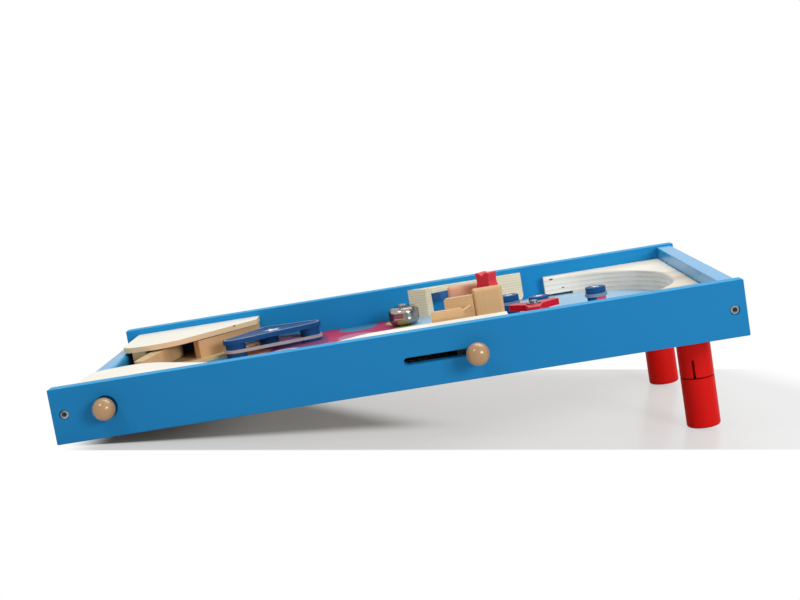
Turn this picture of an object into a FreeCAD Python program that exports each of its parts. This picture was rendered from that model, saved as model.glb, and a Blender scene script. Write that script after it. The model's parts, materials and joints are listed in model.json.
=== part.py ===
import FreeCAD, Part
import math
import os

V = FreeCAD.Vector

os.makedirs("parts", exist_ok=True)

# Everything is drawn on the level case: u runs from the low (player's) end to the high end,
# v from the outside of the near rail to the far rail, w up from the underside of the rails.
# The last step leans the case back on its two legs. All sizes are in millimetres.

# Case
length = 750.0              # side rails
width = 420.0               # over both side rails
rail_height = 61.0
rail_thick = 18.0
rail_corner = 1.5           # corners of a side rail, seen from the side
rail_edge = 1.2             # long edges of a side rail
low_inset = 5.0             # low end rail, back from the ends of the side rails
low_rail_height = 44.5
low_rail_round = 4.5        # inner top edge, where the hands rest
high_inset = 4.0
high_rail_height = 59.0
end_rail_edge = 1.0
board_top = 18.0
board_thick = 9.0
groove_depth = 5.0          # the board stands in a groove all round
groove_play = 0.1

# Frame bolts and their barrel nuts
bolt_r = 3.0
bolt_hole_r = 3.2
bolt_length = 50.0
bolt_head_r = 5.0
bolt_head_height = 6.0
counterbore_r = 5.5
counterbore_depth = 7.0
hex_across = 5.0
hex_depth = 3.0
low_bolt_height = 32.0
high_bolt_height = 29.6
barrel_r = 5.0
barrel_length = 18.0
barrel_play = 0.1
barrel_from_end = 30.0      # barrel nut's axis from the end of its rail
thread_play = 0.05

# Legs
leg_r = 19.0
leg_inset = 47.0            # leg axis from the high ends of the side rails
leg_from_side = 84.5        # leg axis from the outside of the nearer side rail
leg_joint = 61.0            # stub length, from the board's underside to the joint
leg_length = 118.7          # whole leg, from the board's underside to the foot
joint_chamfer = 1.0
foot_round = 3.0
tenon_r = 11.0
tenon_length = 28.0
tenon_play = 0.05
socket_depth = 30.0
kerf_width = 3.0
kerf_height = 21.0
kerf_turn = 19.0            # degrees towards the low end
leg_screw_r = 2.5
leg_screw_head_r = 5.0
leg_screw_length = 40.0

# Flipper sets. Distances "off" are measured inwards from the inner face of the side rail.
cover_low = 46.5            # underside of the cream cover plates
cover_thick = 7.0
cover_edge = 0.8
cover_corner = 22.0
cover_bend = 60.0
cover_points = [(16.8, 0.0), (16.8, 114.0), (78.1, 124.7), (183.5, 31.7), (183.5, 0.0)]
base_thick = 4.5
base_points = [(40.0, 0.0), (40.0, 72.0), (98.0, 120.0), (144.0, 84.0),
               (171.0, 57.0), (182.5, 36.0), (182.5, 0.0)]
flipper_wall_path = [(113.3, 94.7), (182.5, 24.0), (182.5, 0.0)]
wall_thick = 11.5
support_u = 31.0
support_length = 17.2
support_off = 82.0
support_depth = 36.0
pivot_u = 72.7
pivot_off = 52.0
pivot_r = 3.0
pivot_play = 0.05
pivot_depth = 4.5           # blind hole for the pin in the cover plate
blade_reach = 122.8         # pivot to the centre of the round tip
blade_droop = 9.7           # degrees towards the low end at rest
blade_root_r = 10.0
blade_tip_r = 7.0
blade_low = 23.5
blade_high = 44.0
lobe_arm = 13.0
lobe_arm_r = 3.0
lobe_r = 5.0                # where the push rod bears
lobe_angle = 16.0           # half of the blade's 32 degree swing
spacer_r = 7.0
spacer_play = 0.1
hook_r = 1.5
hook_reach = 22.0           # along the blade from its pivot
hook_depth = 8.0
anchor_u = 46.0
anchor_off = 66.0
anchor_r = 2.0
band_thick = 1.2
band_low = 44.6
band_high = 46.0

# Flipper buttons
ball_r = 12.5
button_out = 9.5            # ball centre outside the rail
button_w = 33.0
button_recess_r = 13.0
button_recess_depth = 10.8
rod_r = 4.0
rod_play = 0.05
rod_hole_play = 0.5
rod_gap = 0.3               # rod end to the blade's lobe
rod_nose_r = 2.8
rod_nose_length = 14.0
rod_in_ball = 11.5
guide_play = 0.3
guide_half = 14.0
guide_depth = 16.0
collar_r = 7.0
collar_thick = 2.0

# Launcher, placed from the toe of the arch that its balls run on to
knob_out = 20.0             # ball centre outside the near rail
knob_w = 30.0
launch_travel = 73.0
slot_half = 4.3
slot_end_play = 2.2
neck_r = 3.8
neck_in = 12.0
carriage_half = 21.5
carriage_wide = 20.7
carriage_high = 42.0
carriage_play = 0.3
lane_guide_wide = 8.0
lane_guide_high = 23.5
lane_guide_length = 140.0
arm_wide = 16.0
arm_low = 25.0
arm_thick = 6.0
arm_reach = 50.0            # from the near rail's inner face
peg_r = 2.5
peg_off = 42.0
anchor_peg_back = 9.0       # from the mouth of the lane
lane_mouth = 19.7           # room for a ball in front of the carriage
toe_gap = 7.0               # mouth of the lane to the toe of the arch
launch_band_thick = 2.0
launch_band_low = 36.0
launch_band_high = 40.0
launch_cover_length = 260.0
launch_taper_length = 100.0
launch_cover_wide = 72.0
launch_cover_bend = 40.0
launch_wall_inset = 3.0
launch_wall_thick = 12.0

# Slingshot
sling_posts = [(161.0, 300.0), (254.5, 342.0), (198.0, 352.0)]
sling_post_r = 13.0
sling_post_high = 36.0
sling_plate_r = 15.5
sling_plate_thick = 6.0
sling_band_low = 25.0
sling_band_high = 29.0
sling_band_thick = 2.5
sling_band_lean = 1.85      # degrees, down towards the high end
sling_band_play = 0.12
sling_plate_edge = 0.8

# Bell. "Back" is the distance from the high end rail's inner face.
bell_back = 348.3
bell_v = 346.0
bell_r = 20.0
bell_rim = 20.5
bell_lip_r = 16.8
bell_belly = 29.0
bell_shoulder = 36.0
bell_flat_r = 12.5
bell_crown = 42.5
bell_wall = 1.2
bell_post_r = 4.0
bell_stud_r = 3.0
bell_nut_r = 6.0
bell_nut_top = 45.8

# Bumpers
bumper_places = [(211.0, 295.0), (177.0, 247.0), (106.0, 249.0)]   # back, v
bumper_post_r = 11.5
bumper_cap_r = 12.5
bumper_cap_low = 35.0
bumper_cap_high = 42.0
bumper_ring_low = 30.5
bumper_ring_high = 34.5
bumper_ring_thick = 2.2
bumper_cap_edge = 1.0

# Star spinner
spinner_arms = 3
spinner_back = 188.0
spinner_v = 180.0
spinner_tip = 32.0
spinner_root = 12.0
spinner_arm_half = 6.5
spinner_low = 36.5
spinner_high = 44.0
spinner_turn = 27.0         # direction of the first arm, degrees
spinner_round = 1.2
spinner_post_r = 6.5
spinner_screw_r = 3.0
spinner_play = 0.05
spinner_gap = 0.2
washer_r = 9.0
washer_thick = 1.0
screw_head_r = 4.8
screw_head_high = 2.6

# Tower
fence_thick = 10.0
fence_round = 4.5
low_fence_lead = 16.8       # low of the middle fence's end
low_fence_length = 37.0
low_fence_v = 94.0
low_fence_top = 64.0
tower_v = 130.0
tower_gap = 43.0
tower_back = 293.2          # middle fence's low end
middle_fence_length = 33.6
middle_fence_top = 72.0
cheek_top = 78.5
cheek_round = 2.5           # top corners
near_cheek_length = 34.5
far_cheek_lag = 6.6         # high of the middle fence's low end
far_cheek_length = 37.0
tower_peg_r = 2.0
tower_peg_in = 3.5          # from the low fence's high end
tower_peg_end = 28.7        # from the middle fence's low end
tower_peg_low = 58.0
tower_peg_high = 60.0

# Horned figure on its upright axle
figure_thick = 15.0
figure_turn = 47.0
figure_lag = 2.5            # axle, high of the near cheek's middle
figure_axle_r = 2.5
figure_play = 0.05
figure_low = 24.0
figure_bore_top = 62.0
figure_foot_gap = 0.2
figure_half = [(11.0, 24.0), (17.0, 38.0), (19.0, 54.0), (19.0, 70.0), (9.5, 77.5),
               (8.5, 82.0), (10.5, 92.5), (5.0, 92.0)]
figure_notch = 88.5
figure_round = 1.6

# Far block with its recess, and the wedge in it
far_block_points = [(340.0, 0.0), (316.5, 18.0), (307.0, 19.0), (285.0, 10.0), (187.0, 11.0),
                    (187.0, 0.0)]       # back, off
far_block_top = 55.0
far_block_round = 8.0
recess_back = 309.0
recess_length = 24.0
recess_top = 48.5
wedge_low = 38.0
wedge_play = 0.2
wedge_points = [(0.0, 0.0), (0.0, 15.0), (11.5, 21.0), (23.6, 12.0), (23.6, 0.0)]

# Pine arch round the high end
arch_top = 44.0
arch_round = 2.75
arch_big_r = 0.631 * width
arch_mid_r = 0.293 * width
arch_far_r = 0.395 * width
arch_turn = 30.0            # where the big sweep gives way to the middle one
arch_back = 17.0            # least thickness at the high end
arch_gap = 1.0              # joint to the high end rail
arch_toe = 3.85             # thickness of the near end
arch_far_length = 157.5
arch_far_lip = 14.0
arch_far_drop = 0.364 * width       # centre of the far sweep, in from the lip
arch_kink = 60.0
notch_high = 3.0
notch_length = 38.0

near_face = rail_thick
far_face = width - rail_thick
low_face = low_inset + rail_thick
high_face = length - high_inset - rail_thick
board_under = board_top - board_thick
middle = width / 2
button_u = pivot_u - lobe_arm
middle_fence_u = high_face - tower_back
figure_u = middle_fence_u + middle_fence_length + near_cheek_length / 2 + figure_lag
spinner_u = high_face - spinner_back
bell_u = high_face - bell_back
bumpers = [(high_face - back, v) for back, v in bumper_places]
recess_u = high_face - recess_back

# Centres of the arch's big and middle sweeps, and where the big one starts.
arch_mid_u = high_face - arch_back - arch_mid_r
arch_step = arch_big_r - arch_mid_r
arch_big_u = arch_mid_u - arch_step * math.cos(math.radians(arch_turn))
arch_big_v = near_face + arch_big_r
arch_mid_v = arch_big_v - arch_step * math.sin(math.radians(arch_turn))
toe_angle = -90 + math.degrees(math.acos(1 - arch_toe / arch_big_r))
toe_u = arch_big_u + arch_big_r * math.cos(math.radians(toe_angle))
mouth_u = toe_u - toe_gap
knob_u = mouth_u - lane_mouth - carriage_half
arm_u = knob_u - carriage_half
carriage_peg_u = arm_u + arm_wide / 2
anchor_peg_u = mouth_u - anchor_peg_back
launch_cover = [(mouth_u - launch_cover_length, 0.0),
                (mouth_u - launch_cover_length + launch_taper_length, launch_cover_wide),
                (mouth_u, launch_cover_wide), (mouth_u, 0.0)]


# ---- shapes shared by several pieces ----

def block(u0, u1, v0, v1, w0, w1):
    return Part.makeBox(u1 - u0, v1 - v0, w1 - w0, V(u0, v0, w0))


def upright(u, v, r, w0, w1):
    return Part.makeCylinder(r, w1 - w0, V(u, v, w0))


def crosswise(u, w, r, v0, v1):
    return Part.makeCylinder(r, v1 - v0, V(u, v0, w), V(0, 1, 0))


def prism(points, w0, w1):
    corners = [V(u, v, w0) for u, v in points]
    wire = Part.makePolygon(corners + corners[:1])
    return Part.Face(wire).extrude(V(0, 0, w1 - w0))


def from_far(points):
    return [(u, far_face - off) for u, off in points]


def from_near(points):
    return [(u, near_face + off) for u, off in points]


def mirrored(shape):
    return shape.mirror(V(0, middle, 0), V(0, 1, 0))


def both_sides(shape):
    return Part.makeCompound([shape, mirrored(shape)])


# Upright edges that stand at the given places in plan.
def upright_edges(shape, places):
    found = []
    for edge in shape.Edges:
        box = edge.BoundBox
        if box.ZLength < 1 or box.XLength > 0.01 or box.YLength > 0.01:
            continue
        for u, v in places:
            if math.hypot(box.XMin - u, box.YMin - v) < 0.05:
                found.append(edge)
    return found


# Edges that lie wholly at one height.
def level_edges(shape, w):
    return [e for e in shape.Edges
            if abs(e.BoundBox.ZMin - w) < 0.01 and abs(e.BoundBox.ZMax - w) < 0.01]


# A strip of constant thickness on the left of a path.
def strip(path, thick):
    normals = []
    for (u0, v0), (u1, v1) in zip(path, path[1:]):
        run = math.hypot(u1 - u0, v1 - v0)
        normals.append(((v0 - v1) / run, (u1 - u0) / run))
    inner = []
    for i, (u, v) in enumerate(path):
        a = normals[max(i - 1, 0)]
        b = normals[min(i, len(normals) - 1)]
        share = thick / (1 + a[0] * b[0] + a[1] * b[1])
        inner.append((u + (a[0] + b[0]) * share, v + (a[1] + b[1]) * share))
    return path + inner[::-1]


# The taut outline round circles given anticlockwise, as a solid from w0 to w1.
def hull(circles, w0, w1):
    count = len(circles)
    normals = []
    for i in range(count):
        u0, v0, r0 = circles[i]
        u1, v1, r1 = circles[(i + 1) % count]
        lean = math.acos((r0 - r1) / math.hypot(u1 - u0, v1 - v0))
        normals.append(math.atan2(v1 - v0, u1 - u0) - lean)

    def on_circle(i, angle):
        u, v, r = circles[i % count]
        return V(u + r * math.cos(angle), v + r * math.sin(angle), w0)

    edges = []
    for i in range(count):
        start = normals[i - 1]
        sweep = (normals[i] - start) % (2 * math.pi)
        arc = Part.Arc(on_circle(i, start), on_circle(i, start + sweep / 2),
                       on_circle(i, start + sweep))
        edges.append(arc.toShape())
        edges.append(Part.makeLine(on_circle(i, normals[i]), on_circle(i + 1, normals[i])))
    return Part.Face(Part.Wire(edges)).extrude(V(0, 0, w1 - w0))


# A stretched band round two or more pegs.
def band(circles, thick, w0, w1):
    outer = hull([(u, v, r + thick) for u, v, r in circles], w0, w1)
    return outer.cut(hull(circles, w0, w1))


def tube(u, v, outer, inner, w0, w1):
    return upright(u, v, outer, w0, w1).cut(upright(u, v, inner, w0, w1))


# ---- case ----

def side_rail():
    rail = block(0, length, 0, rail_thick, 0, rail_height)
    corners = [e for e in rail.Edges if e.BoundBox.XLength + e.BoundBox.ZLength < 0.01]
    rail = rail.makeFillet(rail_corner, corners)
    rims = [e for e in rail.Edges if e.BoundBox.YLength < 0.01]
    rail = rail.makeFillet(rail_edge, rims)
    rail = rail.cut(block(low_face - groove_depth, high_face + groove_depth,
                          rail_thick - groove_depth, rail_thick,
                          board_under, board_top + groove_play))
    for u, w in bolt_places():
        rail = rail.cut(crosswise(u, w, counterbore_r, 0, counterbore_depth))
        rail = rail.cut(crosswise(u, w, bolt_hole_r, 0, rail_thick))
    rail = rail.cut(crosswise(button_u, button_w, button_recess_r, 0, button_recess_depth))
    return rail.cut(crosswise(button_u, button_w, rod_r + rod_hole_play, 0, rail_thick))


def launch_slot():
    low = knob_u - launch_travel - neck_r - slot_end_play + slot_half
    high = knob_u + neck_r + slot_end_play - slot_half
    slot = block(low, high, 0, rail_thick, knob_w - slot_half, knob_w + slot_half)
    for u in (low, high):
        slot = slot.fuse(crosswise(u, knob_w, slot_half, 0, rail_thick))
    return slot


def bolt_places():
    return [(low_inset + rail_thick / 2, low_bolt_height),
            (high_face + rail_thick / 2, high_bolt_height)]


def end_rail(u0, height, bolt_height, inner_side, top_round):
    u1 = u0 + rail_thick
    rail = block(u0, u1, near_face, far_face, 0, height)
    inner = u1 if inner_side > 0 else u0
    outer = u0 if inner_side > 0 else u1
    top = level_edges(rail, height)
    rail = rail.makeFillet(top_round, [e for e in top if abs(e.BoundBox.XMin - inner) < 0.01
                                       and e.BoundBox.XLength < 0.01])
    rail = rail.makeFillet(end_rail_edge, [e for e in level_edges(rail, height)
                                           if abs(e.BoundBox.XMin - outer) < 0.01
                                           and e.BoundBox.XLength < 0.01])
    groove_end = inner - inner_side * groove_depth
    rail = rail.cut(block(min(inner, groove_end), max(inner, groove_end), near_face, far_face,
                          board_under, board_top + groove_play))
    u = u0 + rail_thick / 2
    bore = crosswise(u, bolt_height, bolt_hole_r, near_face, near_face + bolt_length)
    pocket = upright(u, near_face + barrel_from_end, barrel_r + barrel_play, 0,
                     bolt_height + barrel_length / 2 + barrel_play)
    for cutter in (bore, pocket):
        rail = rail.cut(cutter).cut(mirrored(cutter))
    return rail


def play_board():
    board = block(low_face - groove_depth, high_face + groove_depth,
                  near_face - groove_depth, far_face + groove_depth, board_under, board_top)
    for v in leg_rows():
        u = length - leg_inset
        board = board.cut(upright(u, v, leg_screw_r, board_under, board_top))
        board = board.cut(screw_head(u, v))
    return board


def frame_bolt(u, w):
    head = crosswise(u, w, bolt_head_r, counterbore_depth - bolt_head_height,
                     counterbore_depth)
    rim = [e for e in head.Edges
           if abs(e.BoundBox.YMax - counterbore_depth + bolt_head_height) < 0.01]
    head = head.makeFillet(0.6, rim)
    corner = hex_across / math.sqrt(3)
    flats = [V(u + corner * math.cos(math.radians(60 * k)),
               counterbore_depth - bolt_head_height,
               w + corner * math.sin(math.radians(60 * k))) for k in range(6)]
    socket = Part.Face(Part.makePolygon(flats + flats[:1])).extrude(V(0, hex_depth, 0))
    shank = crosswise(u, w, bolt_r, counterbore_depth, counterbore_depth + bolt_length)
    return head.cut(socket).fuse(shank)


def barrel_nut(u, w):
    v = near_face + barrel_from_end
    nut = upright(u, v, barrel_r, w - barrel_length / 2, w + barrel_length / 2)
    return nut.cut(crosswise(u, w, bolt_r + thread_play, v - barrel_r, v + barrel_r))


def all_corners(piece):
    return Part.makeCompound([both_sides(piece(u, w)) for u, w in bolt_places()])


# ---- legs ----

def leg_rows():
    return [leg_from_side, width - leg_from_side]


def joint_w():
    return board_under - leg_joint


def leg_stub(v):
    u = length - leg_inset
    stub = upright(u, v, leg_r, joint_w(), board_under)
    stub = stub.makeChamfer(joint_chamfer, level_edges(stub, joint_w()))
    stub = stub.cut(upright(u, v, tenon_r, joint_w(), joint_w() + socket_depth))
    kerf = block(u - kerf_width / 2, u + kerf_width / 2, v - leg_r - 1, v + leg_r + 1,
                 joint_w() - 1, joint_w() + kerf_height)
    kerf.rotate(V(u, v, 0), V(0, 0, 1), -kerf_turn)
    stub = stub.cut(kerf)
    return stub.cut(upright(u, v, leg_screw_r, board_top - leg_screw_length, board_under))


def leg(v):
    u = length - leg_inset
    foot_w = board_under - leg_length
    body = upright(u, v, leg_r, foot_w, joint_w())
    body = body.makeFillet(foot_round, level_edges(body, foot_w))
    body = body.makeChamfer(joint_chamfer, level_edges(body, joint_w()))
    tenon = upright(u, v, tenon_r - tenon_play, joint_w(), joint_w() + tenon_length)
    tenon = tenon.makeChamfer(1.0, level_edges(tenon, joint_w() + tenon_length))
    return body.fuse(tenon)


def screw_head(u, v):
    depth = leg_screw_head_r - leg_screw_r
    return Part.makeCone(leg_screw_r, leg_screw_head_r, depth, V(u, v, board_top - depth))


def leg_screw(v):
    u = length - leg_inset
    shank = upright(u, v, leg_screw_r, board_top - leg_screw_length, board_top)
    return shank.fuse(screw_head(u, v))


# ---- flipper set at the far rail; the near set is its mirror image ----

def flipper_cover():
    points = from_far(cover_points)
    plate = prism(points, cover_low, cover_low + cover_thick)
    plate = plate.makeFillet(cover_corner, upright_edges(plate, points[1:2]))
    plate = plate.makeFillet(cover_bend, upright_edges(plate, points[2:3]))
    rim = [e for e in level_edges(plate, cover_low + cover_thick)
           if e.BoundBox.YMin < far_face - 0.01]
    plate = plate.makeFillet(cover_edge, rim)
    return plate.cut(upright(pivot_u, pivot_v(), pivot_r + pivot_play, cover_low,
                             cover_low + pivot_depth))


def pivot_v():
    return far_face - pivot_off


def flipper_base():
    points = from_far(base_points)
    plate = prism(points, board_top, board_top + base_thick)
    plate = plate.makeFillet(4.0, upright_edges(plate, points[2:3]))
    return plate.cut(upright(pivot_u, pivot_v(), pivot_r + pivot_play, board_top,
                             board_top + base_thick))


def flipper_wall():
    return prism(strip(from_far(flipper_wall_path), wall_thick),
                 board_top + base_thick, cover_low)


def support_block():
    v1 = far_face - support_off
    piece = block(support_u, support_u + support_length, v1 - support_depth, v1,
                  board_top, cover_low)
    return piece.makeFillet(1.0, [e for e in piece.Edges if e.BoundBox.ZLength > 1])


def guide_block():
    piece = block(button_u - guide_half, button_u + guide_half, far_face - guide_depth,
                  far_face, board_top + base_thick, cover_low)
    return piece.cut(crosswise(button_u, button_w, rod_r + rod_play,
                               far_face - guide_depth, far_face))


def along_blade(reach):
    angle = math.radians(-90 - blade_droop)
    return (pivot_u + reach * math.cos(angle), pivot_v() + reach * math.sin(angle))


def blade():
    tip = along_blade(blade_reach)
    body = hull([(pivot_u, pivot_v(), blade_root_r), (tip[0], tip[1], blade_tip_r)],
                blade_low, blade_high)
    lobe_u = pivot_u - lobe_arm * math.cos(math.radians(lobe_angle))
    arm = hull([(pivot_u, pivot_v(), lobe_arm_r), (lobe_u, lobe_v(), lobe_arm_r)],
               blade_low, blade_high)
    body = body.makeFillet(1.0, level_edges(body, blade_high) + level_edges(body, blade_low))
    body = body.fuse(arm).fuse(upright(lobe_u, lobe_v(), lobe_r, blade_low, blade_high))
    body = body.removeSplitter()
    body = body.cut(upright(pivot_u, pivot_v(), pivot_r + pivot_play, blade_low, blade_high))
    hook = along_blade(hook_reach)
    return body.cut(upright(hook[0], hook[1], hook_r, blade_high - hook_depth, blade_high))


def lobe_v():
    return pivot_v() + lobe_arm * math.sin(math.radians(lobe_angle))


def blade_hook():
    hook = along_blade(hook_reach)
    return upright(hook[0], hook[1], hook_r, blade_high - hook_depth, cover_low - 0.5)


def pivot_pin():
    return upright(pivot_u, pivot_v(), pivot_r, board_top, cover_low + pivot_depth)


def blade_spacers():
    bore = pivot_r + pivot_play
    lower = tube(pivot_u, pivot_v(), spacer_r, bore, board_top + base_thick,
                 blade_low - spacer_play)
    upper = tube(pivot_u, pivot_v(), spacer_r, bore, blade_high + spacer_play, cover_low)
    return Part.makeCompound([lower, upper])


def button_ball():
    v = width + button_out
    ball = Part.makeSphere(ball_r, V(button_u, v, button_w), V(0, 1, 0))
    return ball.cut(crosswise(button_u, button_w, rod_r, v - ball_r - 1,
                              v - ball_r + rod_in_ball))


def push_rod():
    start = lobe_v() + lobe_r + rod_gap
    end = width + button_out - ball_r + rod_in_ball
    step = start + rod_nose_length
    nose = crosswise(button_u, button_w, rod_nose_r, start, step)
    rod = crosswise(button_u, button_w, rod_r, step, end).fuse(nose)
    collar_v = far_face - guide_depth - guide_play
    return rod.fuse(crosswise(button_u, button_w, collar_r, collar_v - collar_thick,
                              collar_v))


def anchor_place():
    return (anchor_u, far_face - anchor_off)


def return_elastic():
    hook = along_blade(hook_reach)
    peg = anchor_place()
    circles = [(peg[0], peg[1], anchor_r), (hook[0], hook[1], hook_r)]
    return band(circles, band_thick, band_low, band_high)


# ---- launcher along the near rail ----

def launcher_cover():
    points = from_near(launch_cover)
    plate = prism(points, cover_low, cover_low + cover_thick)
    plate = plate.makeFillet(launch_cover_bend, upright_edges(plate, points[1:2]))
    rim = [e for e in level_edges(plate, cover_low + cover_thick)
           if e.BoundBox.YMax > near_face + 0.01]
    return plate.makeFillet(cover_edge, rim)


def launcher_wall():
    (u0, off0), (u1, off1), (u2, _) = launch_cover[:3]
    run = math.hypot(u1 - u0, off1 - off0)
    du = launch_wall_inset * (off1 - off0) / run
    dv = launch_wall_inset * (u1 - u0) / run
    slope = (off1 - off0) / (u1 - u0)
    top = off1 - launch_wall_inset
    bend_u = u0 + du + (top + dv) / slope
    start_u = u0 + du + dv / slope
    reach = launch_wall_thick
    path = from_near([(u2 - launch_wall_inset, top), (bend_u, top),
                      (start_u - reach, -reach * slope)])
    wall = prism(strip(path, launch_wall_thick), board_top, cover_low)
    return wall.common(block(0, length, near_face, width, board_top, cover_low))


def lane_guide():
    v = near_face + 2 * carriage_play + carriage_wide
    end = launch_cover[2][0] - launch_wall_inset
    return block(end - lane_guide_length, end, v, v + lane_guide_wide, board_top,
                 lane_guide_high)


def carriage():
    v = near_face + carriage_play
    body = block(knob_u - carriage_half, knob_u + carriage_half, v, v + carriage_wide,
                 board_top + carriage_play, carriage_high)
    body = body.makeFillet(1.0, [e for e in body.Edges if e.BoundBox.ZLength > 1])
    arm = block(arm_u, arm_u + arm_wide, v + carriage_wide / 2, near_face + arm_reach,
                arm_low, arm_low + arm_thick)
    body = body.fuse(arm)
    body = body.cut(crosswise(knob_u, knob_w, neck_r, v, v + neck_in))
    return body.cut(upright(carriage_peg_u, near_face + peg_off, peg_r, arm_low,
                            arm_low + arm_thick))


def carriage_hook():
    return upright(carriage_peg_u, near_face + peg_off, peg_r, arm_low, launch_band_high + 3)


def launcher_knob():
    ball = Part.makeSphere(ball_r, V(knob_u, -knob_out, knob_w), V(0, 1, 0))
    neck = crosswise(knob_u, knob_w, neck_r, -knob_out, near_face + carriage_play + neck_in)
    return ball.fuse(neck)


def launcher_elastic():
    v = near_face + peg_off
    circles = [(carriage_peg_u, v, peg_r), (anchor_peg_u, v, peg_r)]
    return band(circles, launch_band_thick, launch_band_low, launch_band_high)


def anchor_pegs():
    peg = anchor_place()
    flipper_peg = upright(peg[0], peg[1], anchor_r, board_top + base_thick, cover_low)
    launch_peg = upright(anchor_peg_u, near_face + peg_off, peg_r, board_top, cover_low)
    return Part.makeCompound([flipper_peg, mirrored(flipper_peg), launch_peg])


# ---- pieces on the playfield ----

def sling_circles(r):
    return [(u, v, r) for u, v in sling_posts]


def sling_plate():
    top = sling_post_high + sling_plate_thick
    plate = hull(sling_circles(sling_plate_r), sling_post_high, top)
    return plate.makeFillet(sling_plate_edge, level_edges(plate, top))


def sling_post(u, v):
    return upright(u, v, sling_post_r, board_top, sling_post_high)


def sling_band():
    rubber = band(sling_circles(sling_post_r + sling_band_play), sling_band_thick,
                  sling_band_low, sling_band_high)
    low_post = V(*sling_posts[0], sling_band_low)
    rubber.rotate(low_post, V(0, 1, 0), sling_band_lean)
    return rubber


# Half section of the bell, taken in by "less" all round, turned into a solid.
def bell_form(less):
    side = bell_r - less
    lip = bell_lip_r - less
    crown = bell_crown - less
    share = 1 - math.sqrt(0.5)
    lip_mid = V(side - (side - lip) * share, 0, bell_rim + (bell_belly - bell_rim) * share)
    crown_mid = V(side - (side - bell_flat_r) * share, 0, crown - (crown - bell_shoulder) * share)
    edges = [Part.makeLine(V(0, 0, bell_rim), V(lip, 0, bell_rim)),
             Part.Arc(V(lip, 0, bell_rim), lip_mid, V(side, 0, bell_belly)).toShape(),
             Part.makeLine(V(side, 0, bell_belly), V(side, 0, bell_shoulder)),
             Part.Arc(V(side, 0, bell_shoulder), crown_mid,
                      V(bell_flat_r, 0, crown)).toShape(),
             Part.makeLine(V(bell_flat_r, 0, crown), V(0, 0, crown)),
             Part.makeLine(V(0, 0, crown), V(0, 0, bell_rim))]
    form = Part.Face(Part.Wire(edges)).revolve(V(0, 0, 0), V(0, 0, 1), 360)
    form.translate(V(bell_u, bell_v, 0))
    return form


def bell_dome():
    dome = bell_form(0).cut(bell_form(bell_wall))
    return dome.cut(upright(bell_u, bell_v, bell_stud_r + thread_play, bell_crown - 2 * bell_wall,
                            bell_crown))


def bell_post():
    shoulder = bell_crown - bell_wall
    post = upright(bell_u, bell_v, bell_post_r, board_top, shoulder)
    return post.fuse(upright(bell_u, bell_v, bell_stud_r, shoulder, bell_crown + 2))


def bell_nut():
    flats = [(bell_u + bell_nut_r * math.cos(math.radians(60 * k)),
              bell_v + bell_nut_r * math.sin(math.radians(60 * k))) for k in range(6)]
    nut = prism(flats, bell_crown, bell_nut_top)
    cap = Part.makeCone(bell_nut_r + 0.6, bell_nut_r - 1.6, bell_nut_top - bell_crown,
                        V(bell_u, bell_v, bell_crown))
    nut = nut.common(cap)
    return nut.cut(upright(bell_u, bell_v, bell_stud_r + thread_play, bell_crown,
                           bell_crown + 2 + thread_play))


def bumper_post(u, v):
    return upright(u, v, bumper_post_r, board_top, bumper_cap_low)


def bumper_cap(u, v):
    cap = upright(u, v, bumper_cap_r, bumper_cap_low, bumper_cap_high)
    return cap.makeFillet(bumper_cap_edge, level_edges(cap, bumper_cap_high))


def bumper_ring(u, v):
    return tube(u, v, bumper_post_r + bumper_ring_thick, bumper_post_r, bumper_ring_low,
                bumper_ring_high)


def each(places, piece):
    return Part.makeCompound([piece(u, v) for u, v in places])


def star_points():
    points = []
    pitch = 360 / spinner_arms
    for arm in range(spinner_arms):
        angle = math.radians(spinner_turn + pitch * arm)
        lean = math.asin(spinner_arm_half / spinner_tip)
        for a in (angle - lean, angle + lean):
            points.append((spinner_u + spinner_tip * math.cos(a),
                           spinner_v + spinner_tip * math.sin(a)))
        valley = angle + math.radians(pitch / 2)
        points.append((spinner_u + spinner_root * math.cos(valley),
                       spinner_v + spinner_root * math.sin(valley)))
    return points


def spinner_rotor():
    star = prism(star_points(), spinner_low, spinner_high)
    star = star.makeFillet(spinner_round, [e for e in star.Edges if e.BoundBox.ZLength > 1])
    return star.cut(upright(spinner_u, spinner_v, spinner_screw_r + spinner_play,
                            spinner_low, spinner_high))


def spinner_post():
    top = spinner_low - spinner_gap
    post = upright(spinner_u, spinner_v, spinner_post_r, board_top, top)
    return post.cut(upright(spinner_u, spinner_v, spinner_screw_r, top - 10, top))


def spinner_washer():
    low = spinner_high + spinner_gap
    return tube(spinner_u, spinner_v, washer_r, spinner_screw_r, low, low + washer_thick)


def spinner_screw():
    under_head = spinner_high + spinner_gap + washer_thick
    shank = upright(spinner_u, spinner_v, spinner_screw_r, spinner_low - spinner_gap - 10,
                    under_head)
    head = upright(spinner_u, spinner_v, screw_head_r, under_head,
                   under_head + screw_head_high)
    head = head.makeFillet(1.2, level_edges(head, under_head + screw_head_high))
    slot = block(spinner_u - screw_head_r, spinner_u + screw_head_r, spinner_v - 0.6,
                 spinner_v + 0.6, under_head + screw_head_high - 1.2,
                 under_head + screw_head_high)
    return shank.fuse(head.cut(slot))


# A fence board across v, its top corners rounded at the chosen ends.
def fence(u0, long, v0, top, round_ends):
    board = block(u0, u0 + long, v0, v0 + fence_thick, board_top, top)
    ends = {"low": u0, "high": u0 + long}
    for name in round_ends:
        corner = [e for e in level_edges(board, top)
                  if abs(e.BoundBox.XMin - ends[name]) < 0.01 and e.BoundBox.XLength < 0.01]
        board = board.makeFillet(fence_round, corner)
    return board


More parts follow.
